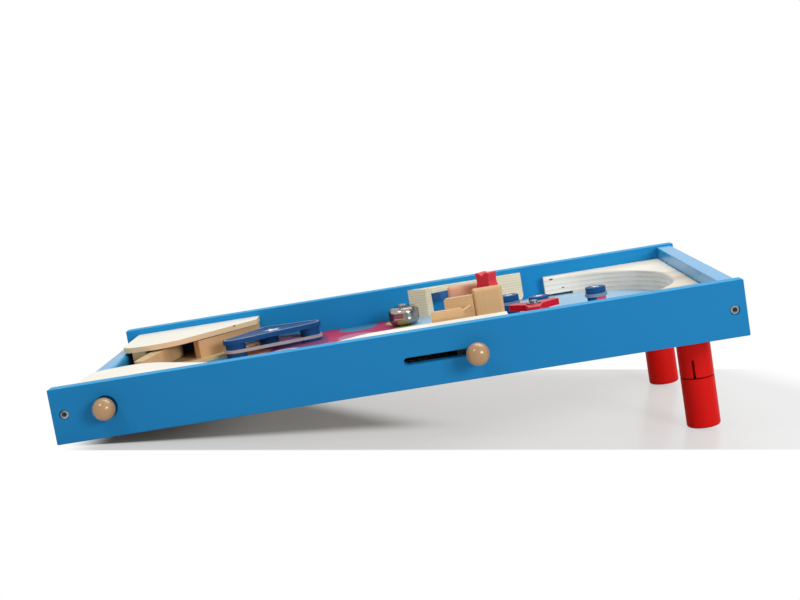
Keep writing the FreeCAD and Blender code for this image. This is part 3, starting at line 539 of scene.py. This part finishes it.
def printTop(tree):
    point = tablePoint(tree)
    flat = placed(tree, point, scale=(1, 1, 0))
    along = addNode(tree, "ShaderNodeSeparateXYZ", {0: point}).outputs["X"]
    wave, clouds = boardPrint["wave"], boardPrint["clouds"]
    swing = sums(tree, "SUBTRACT", noise(tree, flat, wave["scale"], wave["detail"]), 0.5)
    edge = sums(tree, "ADD", along, sums(tree, "MULTIPLY", swing, wave["height"]))
    face = boardPrint["base"]
    for start, paint in boardPrint["bands"]:
        band = step(tree, edge, start, start + boardPrint["bandSoft"])
        face = blendColours(tree, band, face, paint)
    puffs = step(tree, noise(tree, flat, clouds["scale"], clouds["detail"]), *clouds["edge"],
                 0.0, clouds["strength"])
    sky = step(tree, along, clouds["from"], clouds["from"] + clouds["soft"])
    face = blendColours(tree, sums(tree, "MULTIPLY", puffs, sky), face, clouds["colour"])
    for x, y, radius, hollow, paint in evenSpots():
        face = useGroup(tree, spotGroup, {"Under": face, "Paint": paint, "Centre": (x, y, 0),
                                          "Radius": radius, "Hollow": hollow})["Color"]
    return face


finishes = {
    # painted light: both side rails get a lighter tone on the faces that look up, and the far rail
    # is a lighter copy of the near rail's blue
    "railBlue": makeLacquer("railBlue", colour(32, 122, 178), colour(48, 148, 204),
                            drift=0.1, sheen=0.4, specular=0.05, top=colour(44, 158, 212)),
    "farBluePaintedLight": makeLacquer("farBluePaintedLight", colour(34, 140, 202), colour(54, 160, 216),
                           drift=0.1, sheen=0.4, specular=0.05, top=colour(44, 158, 212)),
    # painted reflection: the end rails are a paler copy of the rails' blue, standing in for the
    # sheen they catch; their higher specular and coat are real
    "endBluePaintedSheen": makeLacquer("endBluePaintedSheen", colour(46, 156, 212), colour(76, 176, 224),
                           stretch=(30, 2, 30), sheen=0.22, specular=0.3, coat=0.06),
    "legRed": makeLacquer("legRed", colour(208, 18, 14), colour(216, 36, 28),
                          stretch=(30, 30, 2), sheen=0.34, specular=0.08,
                          seamAndShadowLevel=tableBox("leg_stubs")[0].z - 0.0004),
    # painted shade: the faces that look up are drawn a darker navy than the sides
    "navyPaint": makeLacquer("navyPaint", colour(28, 80, 134), colour(48, 106, 168),
                             sheen=0.3, specular=0.06, top=colour(6, 68, 122)),
    "wedgePaint": makeLacquer("wedgePaint", colour(40, 88, 144), colour(84, 132, 180)),
    "figurePaint": makeLacquer("figurePaint", colour(214, 26, 44), colour(226, 60, 72),
                               stretch=(30, 30, 4), sheen=0.22, specular=0.5),
    "rotorPaint": makeLacquer("rotorPaint", colour(200, 18, 44), colour(212, 50, 74),
                              sheen=0.3, specular=0.15),
    "whitePrint": makeLacquer("whitePrint", colour(230, 236, 242), colour(246, 248, 250),
                              sheen=0.35),
    "patchRed": makeLacquer("patchRed", colour(220, 64, 84), colour(232, 110, 120)),
    "beechAlong": makeWood("beechAlong", beech),
    "beechAcross": makeWood("beechAcross", {**beech, "Turn": grainAcross}),
    "beechUpright": makeWood("beechUpright", {**beech, "Turn": grainUpright, "Rings": 24.0,
                                              "Ring depth": 0.05}),
    "pinkBeech": makeWood("pinkBeech", {**pinkBeech, "Turn": grainUpright}),
    "pineBlock": makeWood("pineBlock", pine),
    "pineArch": makeWood("pineArch", archPine, knots=archKnots),
    "ballWood": makeWood("ballWood", {**beech, "Pale": colour(174, 134, 86),
                                      "Dark": colour(140, 98, 56), "Turn": grainUpright,
                                      "Sheen": 0.3}, coat=1.0),
    "bladeWood": makeWood("bladeWood", {**beech, "Pale": colour(222, 196, 148),
                                        "Dark": colour(156, 124, 80), "Rings": 160.0,
                                        "Ring depth": 0.5}),
    "baseWood": makeWood("baseWood", {**beech, "Pale": colour(208, 188, 146),
                                      "Dark": colour(170, 144, 100)}),
    # painted shadow: a dark line along the walls' tops, just under the covers
    "wallWood": makeWood("wallWood", beech, seamAndShadowLevel=tableBox("flipper_cover_far")[0].z - 0.0005),
    # painted shade: the support blocks sit under the covers, so their wood is drawn darker
    "paintedShadeWood": makeWood("paintedShadeWood", {**beech, "Pale": colour(170, 150, 112),
                                        "Dark": colour(128, 106, 72)}),
    # painted shade: the near sides of the launcher wall and lane guide, seen through the rail's
    # slot, are drawn near black
    "launcherWoodShadedSide": makeSideShaded("launcherWoodShadedSide", beech, colour(26, 24, 24), (0, -1, 0)),
    "darkWood": makeWood("darkWood", {**beech, "Pale": colour(84, 62, 50),
                                      "Dark": colour(58, 42, 34)}),
    "steel": makeMetal("steel", colour(132, 140, 146), colour(84, 92, 98), 0.3),
    "boltSteel": makeMetal("boltSteel", colour(150, 164, 172), colour(92, 104, 112), 0.25,
                           [middleOf(bolt) for bolt in islands("frame_bolts")]),
    # chrome: its dull tone and dull patches are partly painted reflection of dark surroundings,
    # the bright tone is the metal's own
    "chrome": makeMetal("chrome", colour(170, 162, 152), colour(78, 70, 64), 0.07),
    "milkyRubber": makeRubber("milkyRubber", colour(214, 208, 208), colour(186, 178, 182),
                              0.35),
    "bluishRubber": makeRubber("bluishRubber", colour(166, 200, 228), colour(140, 178, 212),
                               0.5),
    "elastic": makeRubber("elastic", colour(226, 214, 190), colour(206, 190, 160), 0.05, 0.6),
    "creamCover": makeTopped("creamCover", creamTop, coverEdge, 0.0002, coverKnots),
    "printedBoard": makeTopped("printedBoard", printTop, plyEdge, 0.00005),
}

nodeFinish = {
    "railBlue": ["side_rail_near"],
    "farBluePaintedLight": ["side_rail_far"],
    "endBluePaintedSheen": ["end_rail_low", "end_rail_high"],
    "printedBoard": ["play_board"],
    "legRed": ["leg_stubs", "leg_near", "leg_far"],
    "boltSteel": ["frame_bolts"],
    "steel": ["barrel_nuts", "leg_screws", "pivot_pins", "spinner_screw", "bell_nut",
              "spinner_washer", "blade_hook_far", "blade_hook_near", "carriage_hook",
              "anchor_pegs", "figure_axle"],
    "chrome": ["bell_dome", "bell_post"],
    "beechAlong": ["fence_low", "fence_middle", "tower_peg"],
    "bladeWood": ["blade_far", "blade_near"],
    "baseWood": ["flipper_bases"],
    "wallWood": ["flipper_walls"],
    "paintedShadeWood": ["support_blocks"],
    "launcherWoodShadedSide": ["launcher_wall", "lane_guide"],
    "beechAcross": ["guide_blocks", "push_rod_far", "push_rod_near", "blade_spacers"],
    "beechUpright": ["cheek_near", "spinner_post"],
    "pinkBeech": ["cheek_far"],
    "pineBlock": ["far_block"],
    "pineArch": ["arch"],
    "ballWood": ["button_ball_far", "button_ball_near", "launcher_knob"],
    "darkWood": ["carriage"],
    "navyPaint": ["sling_posts", "sling_plate", "bumper_posts", "bumper_caps"],
    "wedgePaint": ["far_wedge"],
    "figurePaint": ["figure"],
    "rotorPaint": ["spinner_rotor"],
    "milkyRubber": ["sling_band"],
    "bluishRubber": ["bumper_rings"],
    "elastic": ["return_elastic_far", "return_elastic_near", "launcher_elastic"],
    "creamCover": ["flipper_cover_far", "flipper_cover_near", "launcher_cover"],
}

for finish, members in nodeFinish.items():
    for member in members:
        for materialSlot in nodes[member].material_slots:
            materialSlot.material = finishes[finish]
finished = {name for members in nodeFinish.values() for name in members}
print("finishes laid:", len(finishes), "left plain:", sorted(set(nodes) - finished))


def finishPiece(name, mesh, material, body="table"):
    # a mesh drawn along the table becomes a piece that rides on one body
    bmesh.ops.transform(mesh, matrix=toRow, verts=mesh.verts)
    bmesh.ops.recalc_face_normals(mesh, faces=mesh.faces)
    data = bpy.data.meshes.new(name)
    mesh.to_mesh(data)
    mesh.free()
    data.materials.append(finishes[material])
    piece = bpy.data.objects.new(name, data)
    bpy.context.scene.collection.objects.link(piece)
    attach(piece, body)
    return piece


def thicken(mesh, height):
    grown = bmesh.ops.extrude_face_region(mesh, geom=list(mesh.faces))
    top = [v for v in grown["geom"] if isinstance(v, bmesh.types.BMVert)]
    bmesh.ops.translate(mesh, vec=(0, 0, height), verts=top)


# White prints: a star on each bumper cap, a star and a line on the slingshot's plate.
whitePrints = {"points": 5, "waist": 0.42, "thickness": 0.00012, "lift": 0.00002}


def starOn(name, centre, radius, turn):
    mesh = bmesh.new()
    bmesh.ops.create_circle(mesh, cap_ends=True, segments=2 * whitePrints["points"], radius=radius)
    waist = [vertex for index, vertex in enumerate(mesh.verts) if index % 2]
    bmesh.ops.scale(mesh, vec=(whitePrints["waist"],) * 3, verts=waist)
    thicken(mesh, whitePrints["thickness"])
    place = Matrix.Translation(centre + Vector((0, 0, whitePrints["lift"])))
    bmesh.ops.transform(mesh, matrix=place @ Matrix.Rotation(turn, 4, "Z"), verts=mesh.verts)
    finishPiece(name, mesh, "whitePrint")


def topMiddle(box):
    low, high = box
    return Vector(((low.x + high.x) / 2, (low.y + high.y) / 2, high.z))


capStar = {"radius": 0.0066, "turn": math.radians(18)}

for letter, cap in zip("abc", islands("bumper_caps")):
    starOn("cap_star_" + letter, topMiddle(cap), capStar["radius"], capStar["turn"])

slingPrint = {"edge": 0.0016, "line": 0.0008, "starRadius": 0.0125, "starTurn": 0.5,
              "level": 0.99, "slack": 0.0001}


def slingOutline():
    # the plate's flat top, inset twice, keeping the line between
    mesh = tableMesh("sling_plate")
    mesh.normal_update()
    top = tableBox("sling_plate")[1].z
    spare = [f for f in mesh.faces if f.normal.z < slingPrint["level"]
             or f.calc_center_median().z < top - slingPrint["slack"]]
    bmesh.ops.delete(mesh, geom=spare, context="FACES")
    bmesh.ops.dissolve_faces(mesh, faces=mesh.faces)
    bmesh.ops.inset_region(mesh, faces=mesh.faces, use_boundary=True,
                           thickness=slingPrint["edge"])
    rim = [f for f in mesh.faces if any(edge.is_boundary for edge in f.edges)]
    bmesh.ops.delete(mesh, geom=rim, context="FACES")
    bmesh.ops.inset_region(mesh, faces=mesh.faces, use_boundary=True,
                           thickness=slingPrint["line"])
    middle = [f for f in mesh.faces if not any(edge.is_boundary for edge in f.edges)]
    bmesh.ops.delete(mesh, geom=middle, context="FACES")
    bmesh.ops.translate(mesh, vec=(0, 0, whitePrints["lift"]), verts=mesh.verts)
    thicken(mesh, whitePrints["thickness"])
    finishPiece("sling_outline", mesh, "whitePrint")


slingOutline()
starOn("sling_star", topMiddle(tableBox("sling_plate")), slingPrint["starRadius"],
       slingPrint["starTurn"])

# A red sleeve goes part of the way round the highest bumper's post.
sleeve = {"low": 0.0192, "high": 0.0300, "thickness": 0.0004, "from": -96, "sweep": 130,
          "steps": 20, "gap": 0.00005}


def postSleeve():
    low, high = islands("bumper_posts")[-1]
    middle = Vector(((low.x + high.x) / 2, (low.y + high.y) / 2, 0))
    radius = (high.x - low.x) / 2 + sleeve["gap"]
    mesh = bmesh.new()
    size = Vector((sleeve["thickness"], 0, sleeve["high"] - sleeve["low"]))
    profile = [mesh.verts.new((radius + x * size.x, 0, sleeve["low"] + z * size.z))
               for x, z in ((0, 0), (1, 0), (1, 1), (0, 1))]
    face = mesh.faces.new(profile)
    bmesh.ops.rotate(mesh, cent=(0, 0, 0), verts=mesh.verts,
                     matrix=Matrix.Rotation(math.radians(sleeve["from"]), 3, "Z"))
    bmesh.ops.spin(mesh, geom=[face, *face.edges, *profile], cent=(0, 0, 0), axis=(0, 0, 1),
                   angle=math.radians(sleeve["sweep"]), steps=sleeve["steps"])
    bmesh.ops.translate(mesh, vec=middle, verts=mesh.verts)
    finishPiece("post_sleeve", mesh, "patchRed")


postSleeve()

# Below its shoulders the figure is narrower than the solid that stands for it.
figureWaist = {"across": math.radians(-43), "kept": 0.006, "share": 0.5, "below": 0.0765}


def slimFigure():
    mesh = tableMesh("figure")
    middle = middleOf(tableBox("figure"))
    across = Vector((math.cos(figureWaist["across"]), math.sin(figureWaist["across"]), 0))
    for vertex in mesh.verts:
        offset = (vertex.co - middle).dot(across)
        spare = (abs(offset) - figureWaist["kept"]) * (1 - figureWaist["share"])
        if vertex.co.z < figureWaist["below"] and spare > 0:
            vertex.co -= across * math.copysign(spare, offset)
    piece = finishPiece("figure_slim", mesh, "figurePaint", "horned_figure")
    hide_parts("figure")


slimFigure()
print("prints, sleeve and figure laid")

# Pale floor: a grey sheet of paper with white all round it. To the camera the sheet is mostly a
# glow that carries painted light: brighter at the right, with a painted shadow under the low end.
floorSheet = {"size": 8.0, "tone": colour(222, 222, 220), "drift": colour(228, 228, 226),
              "left": -0.33, "right": 0.52, "front": -0.2225, "back": 0.229,
              "nearFade": 0.007, "farFade": 0.004, "leftFade": (0.03, 0.02),
              "rightFade": 0.12, "rightSlant": 0.5, "mottle": 3.0, "roughness": 0.24,
              "glowShare": 0.65, "glow": 0.73, "glowRight": 0.84, "glowSlant": 0.8,
              "glowFrom": (0.15, 0.32)}

# Painted shadow under the low end: the sheet's glow is darkened there, where neither the light in
# front nor the light behind would reach the paper. Slopes of the two edges of that painted shadow,
# seen from the end where the box touches down.
paintedBoxShade = {"toe": 0.342, "near": 0.205, "far": 0.215, "front": (0.16, 0.34),
            "back": (0.72, 1.04), "fade": (0.06, 0.20), "tone": (0.05, 0.25)}


def paintedFloorLight(tree, x, y):
    # painted light on the paper: an even glow, brighter at the right, painted shadow under the low
    # end of the box
    away = sums(tree, "MAXIMUM", sums(tree, "ADD", x, paintedBoxShade["toe"]), 0.001)
    front = sums(tree, "DIVIDE", sums(tree, "ADD", y, paintedBoxShade["near"]), away)
    back = sums(tree, "DIVIDE", sums(tree, "SUBTRACT", paintedBoxShade["far"], y), away)
    shade = sums(tree, "MULTIPLY", step(tree, front, *paintedBoxShade["front"]),
                 step(tree, back, *paintedBoxShade["back"]))
    slant = sums(tree, "MULTIPLY", y, floorSheet["glowSlant"])
    even = step(tree, sums(tree, "SUBTRACT", x, slant), *floorSheet["glowFrom"],
                floorSheet["glow"], floorSheet["glowRight"])
    lost = step(tree, away, *paintedBoxShade["fade"], *(1 - tone for tone in paintedBoxShade["tone"]))
    kept = sums(tree, "SUBTRACT", 1.0, sums(tree, "MULTIPLY", shade, lost))
    return sums(tree, "MULTIPLY", even, kept)


def seenRays(tree, path):
    seen = sums(tree, "MAXIMUM", path["Is Camera Ray"], path["Is Glossy Ray"])
    return sums(tree, "MAXIMUM", seen, path["Is Transmission Ray"])


def makeFloor():
    mesh = bmesh.new()
    bmesh.ops.create_grid(mesh, x_segments=1, y_segments=1, size=floorSheet["size"] / 2)
    data = bpy.data.meshes.new("floor")
    mesh.to_mesh(data)
    mesh.free()
    floor = bpy.data.objects.new("floor", data)
    bpy.context.scene.collection.objects.link(floor)
    material, tree, shader = newMaterial("paleFloor")
    place = addNode(tree, "ShaderNodeTexCoord").outputs["Object"]
    tree.links.new(blendColours(tree, noise(tree, place, floorSheet["mottle"]), floorSheet["tone"],
                                floorSheet["drift"]), shader.inputs["Base Color"])
    setSockets(shader, {"Roughness": floorSheet["roughness"], "Specular IOR Level": 0.5})
    split = addNode(tree, "ShaderNodeSeparateXYZ", {0: place}).outputs
    front, back = floorSheet["front"], floorSheet["back"]
    near = step(tree, split["Y"], front - floorSheet["nearFade"], front)
    far = step(tree, split["Y"], back + floorSheet["farFade"], back)
    outside, inside = floorSheet["leftFade"]
    left = step(tree, split["X"], floorSheet["left"] - outside, floorSheet["left"] + inside)
    slant = sums(tree, "MULTIPLY", split["Y"], floorSheet["rightSlant"])
    right = step(tree, sums(tree, "ADD", split["X"], slant),
                 floorSheet["right"] + floorSheet["rightFade"], floorSheet["right"])
    shown = sums(tree, "MULTIPLY", sums(tree, "MULTIPLY", near, far),
                 sums(tree, "MULTIPLY", left, right))
    path = addNode(tree, "ShaderNodeLightPath").outputs
    white = sums(tree, "MULTIPLY", sums(tree, "SUBTRACT", 1.0, shown), seenRays(tree, path))
    even = sums(tree, "MULTIPLY", path["Is Camera Ray"], floorSheet["glowShare"])
    paintedSheetLight = addNode(tree, "ShaderNodeEmission",
                        {"Strength": paintedFloorLight(tree, split["X"], split["Y"])})
    whiteGlow = addNode(tree, "ShaderNodeEmission", {"Strength": 1.0})
    sheet = addNode(tree, "ShaderNodeMixShader", {0: even, 1: shader.outputs[0],
                                                  2: paintedSheetLight.outputs[0]})
    mixed = addNode(tree, "ShaderNodeMixShader", {0: white, 1: sheet.outputs[0],
                                                  2: whiteGlow.outputs[0]})
    tree.links.new(mixed.outputs[0], tree.nodes["Material Output"].inputs["Surface"])
    data.materials.append(material)


makeFloor()

# Each lamp: place, aim, size in metres, power in watts, and whether gloss shows it.
studio = {
    "world": 0.30,
    "lamps": {
        "rightSoftbox": ((1.25, -1.75, 0.95), (0, 0, 0.06), (0.8, 0.8), 25.0, True),
        "leftSoftbox": ((-1.15, -1.15, 1.55), (0, 0, 0.06), (0.6, 0.6), 9.0, True),
        "topSoftbox": ((0.35, 0.5, 2.0), (0.1, 0, 0), (1.8, 1.2), 20.0, True),
        "backSoftbox": ((0.2, 2.0, 0.6), (0, 0, 0), (4.0, 1.0), 25.0, False),
    },
}


def addLamps():
    for name, (place, aim, size, power, glossy) in studio["lamps"].items():
        light = bpy.data.lights.new(name, "AREA")
        light.shape = "RECTANGLE"
        light.size, light.size_y = size
        light.energy = power
        lamp = bpy.data.objects.new(name, light)
        lamp.location = place
        toward = Vector(aim) - Vector(place)
        lamp.rotation_euler = toward.to_track_quat("-Z", "Y").to_euler()
        lamp.visible_glossy = glossy
        bpy.context.scene.collection.objects.link(lamp)


def addWorld():
    world = bpy.data.worlds.new("studio")
    bpy.context.scene.world = world
    world.use_nodes = True
    tree = world.node_tree
    tree.nodes.clear()
    path = addNode(tree, "ShaderNodeLightPath").outputs
    strength = addNode(tree, "ShaderNodeMapRange",
                       {"Value": seenRays(tree, path), "To Min": studio["world"],
                        "To Max": 1.0}).outputs["Result"]
    glow = addNode(tree, "ShaderNodeBackground", {"Color": (1, 1, 1, 1),
                                                  "Strength": strength})
    out = addNode(tree, "ShaderNodeOutputWorld")
    tree.links.new(glow.outputs[0], out.inputs["Surface"])


addLamps()
addWorld()

view = {"place": (0.02285, -1.63453, 0.35085), "turn": (82.280, 0.248, 0.718),
        "lens": 61.43, "sensor": 36.0}


def addCamera():
    data = bpy.data.cameras.new("camera")
    data.lens = view["lens"]
    data.sensor_width = view["sensor"]
    camera = bpy.data.objects.new("camera", data)
    camera.location = view["place"]
    camera.rotation_euler = [math.radians(angle) for angle in view["turn"]]
    bpy.context.scene.collection.objects.link(camera)
    bpy.context.scene.camera = camera


addCamera()
bpy.context.scene.view_settings.view_transform = "Standard"
print("floor, light and camera set")
